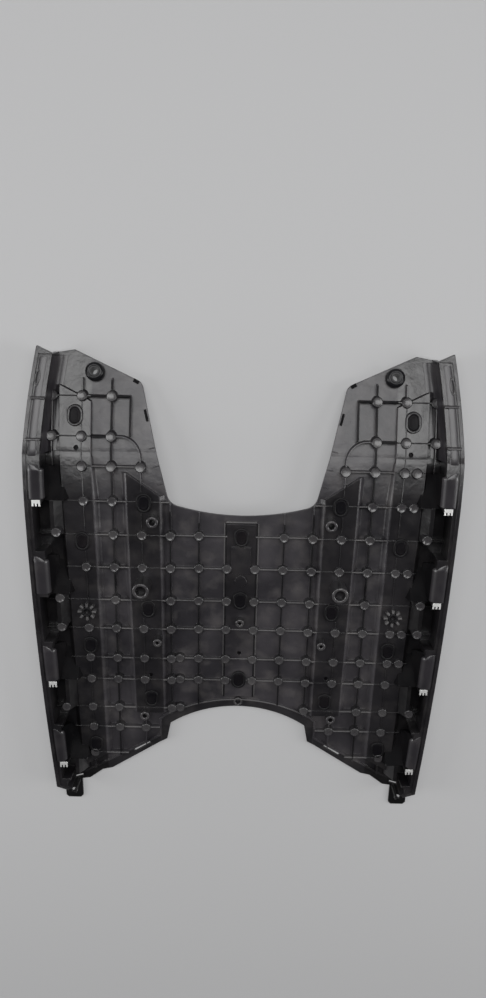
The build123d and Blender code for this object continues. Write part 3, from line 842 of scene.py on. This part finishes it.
# Radius, and height over the ear
ring_section = (
    (9.65, 0.05), (9.65, 4.4), (9.3, 6.2), (8.3, 7.6), (6.8, 8.25), (5.2, 8.15), (4.2, 7.3), (3.75, 6.0), (3.65, 0.5)
)
ring_sides = 40
angles = [2 * pi * step / ring_sides for step in range(ring_sides)]
spokes = [Vector((cos(angle), 0, 0)) + ear_front * sin(angle) for angle in angles]
for hand, side in (("left", -1), ("right", 1)):
    dress(frame["nodes"][f"{hand}_grommet"], grommet_rubber)
    centre = deck_origin + (Vector((side * grommet_x, 0, 0)) + ear_front * grommet_reach) * mm
    grommet_mesh = bmesh.new()
    rings = []
    for radius, height in ring_section:
        around = [centre + (spoke * radius + ear_up * height) * mm for spoke in spokes]
        rings.append([grommet_mesh.verts.new(point) for point in around])
    skin_rings(grommet_mesh, rings)
    add_piece(f"{hand}_grommet_ring", grommet_mesh, grommet_rubber)


# The side clips are bent from thin bright zinc-plated spring steel. Each is pushed over the ledge at the front of a
# hook pocket, where its three fingers hold the skirt panel that hooks in.
clip_steel = moulded("clip steel", (0.84, 0.84, 0.83), (0.94, 0.94, 0.92), 0.42, 2500, 0.0)
clip_steel.node_tree.nodes["Principled BSDF"].inputs["Metallic"].default_value = 0.7
dress(frame["nodes"]["side_clips"], clip_steel)


# Plain pale studio floor under the board, wide enough to fill the view. Seen directly it is partly its own even grey,
# so that it stays pale in the holes of the board and still takes the board's shadow.
floor_half = 4.0
floor_grey = (0.42, 0.42, 0.4242, 1)
even_share = 0.5
floor_mesh = bmesh.new()
bmesh.ops.create_grid(floor_mesh, x_segments=1, y_segments=1, size=floor_half)
floor_data = bpy.data.meshes.new("studio floor")
floor_mesh.to_mesh(floor_data)
floor_mesh.free()
studio_floor = bpy.data.objects.new("studio_floor", floor_data)
bpy.context.collection.objects.link(studio_floor)
floor_paint = bpy.data.materials.new("pale floor paint")
floor_paint.use_nodes = True
floor_nodes, floor_links = floor_paint.node_tree.nodes, floor_paint.node_tree.links
floor_nodes["Principled BSDF"].inputs["Base Color"].default_value = floor_grey
floor_nodes["Principled BSDF"].inputs["Roughness"].default_value = 0.8
even_grey = floor_nodes.new("ShaderNodeEmission")
even_grey.inputs["Color"].default_value = floor_grey
ray_kind = floor_nodes.new("ShaderNodeLightPath")
seen_rays = floor_nodes.new("ShaderNodeVectorMath")
seen_rays.operation = "DOT_PRODUCT"
seen_rays.inputs[1].default_value = (even_share, even_share, even_share)
ray_list = floor_nodes.new("ShaderNodeCombineXYZ")
for socket, kind in zip(ray_list.inputs, ("Is Camera Ray", "Is Glossy Ray", "Is Transmission Ray")):
    floor_links.new(ray_kind.outputs[kind], socket)
floor_links.new(ray_list.outputs["Vector"], seen_rays.inputs[0])
seen_floor = floor_nodes.new("ShaderNodeMixShader")
floor_links.new(seen_rays.outputs["Value"], seen_floor.inputs["Fac"])
floor_links.new(floor_nodes["Principled BSDF"].outputs["BSDF"], seen_floor.inputs[1])
floor_links.new(even_grey.outputs["Emission"], seen_floor.inputs[2])
floor_links.new(seen_floor.outputs["Shader"], floor_nodes["Material Output"].inputs["Surface"])
dress(studio_floor, floor_paint)


# Soft studio light: a large panel beyond the front of the board, which the ears mirror and the flat floor does not,
# and a low panel at each side, which the slopes and rounded edges mirror. The room's walls are pale and its ceiling
# is dark, so that the hollows stay dark.
def soft_panel(name, place, target, size, power):
    """A rectangular light panel that faces a point of the board."""
    lamp = bpy.data.lights.new(name, "AREA")
    lamp.shape = "RECTANGLE"
    lamp.size, lamp.size_y = size
    lamp.energy = power
    panel = bpy.data.objects.new(name, lamp)
    panel.location = place
    panel.rotation_euler = (Vector(place) - Vector(target)).to_track_quat("Z", "Y").to_euler()
    bpy.context.collection.objects.link(panel)


light_target = on_board(0, -100, 0)
soft_panel("front panel", light_target + Vector((0, 0.64, 1.35)), light_target, (1.6, 0.6), 20)
for side in (1, -1):
    soft_panel("side panel", light_target + Vector((side * 1.35, 0, 0.55)), light_target, (0.45, 1.1), 14)
room = bpy.data.worlds.new("studio room")
room.use_nodes = True
room_nodes, room_links = room.node_tree.nodes, room.node_tree.links
seen_along = room_nodes.new("ShaderNodeTexCoord")
direction = room_nodes.new("ShaderNodeSeparateXYZ")
room_links.new(seen_along.outputs["Generated"], direction.inputs["Vector"])
walls_to_ceiling = room_nodes.new("ShaderNodeMapRange")
walls_to_ceiling.interpolation_type = "SMOOTHSTEP"
walls_to_ceiling.inputs["From Min"].default_value = 0.25
walls_to_ceiling.inputs["From Max"].default_value = 0.9
walls_to_ceiling.inputs["To Min"].default_value = 0.30
walls_to_ceiling.inputs["To Max"].default_value = 0.02
room_links.new(direction.outputs["Z"], walls_to_ceiling.inputs["Value"])
room_links.new(walls_to_ceiling.outputs["Result"], room_nodes["Background"].inputs["Strength"])
room_nodes["Background"].inputs["Color"].default_value = (0.8, 0.8, 0.81, 1)
bpy.context.scene.world = room


# The camera stands where the photograph was taken: over the ears, looking down at the middle of the underside.
camera_x = 0.6
camera_front = 157.3
camera_height = 669.8
view_tilt = radians(16.9)
view_roll = radians(-1.29)
camera_data = bpy.data.cameras.new("photo camera")
camera_data.sensor_width = 36
camera_data.lens = 24.53
camera = bpy.data.objects.new("photo_camera", camera_data)
camera_place = on_board(camera_x, 0, camera_height) + deck_front * camera_front * mm
look = deck_front * -sin(view_tilt) - deck_up * cos(view_tilt)
upward = deck_front * cos(view_tilt) - deck_up * sin(view_tilt)
turned_up = upward * cos(view_roll) + look.cross(upward) * sin(view_roll)
axes = Matrix((look.cross(turned_up), turned_up, -look)).transposed()
camera.matrix_world = Matrix.Translation(camera_place) @ axes.to_4x4()
bpy.context.collection.objects.link(camera)
bpy.context.scene.camera = camera
bpy.context.scene.view_settings.view_transform = "Standard"
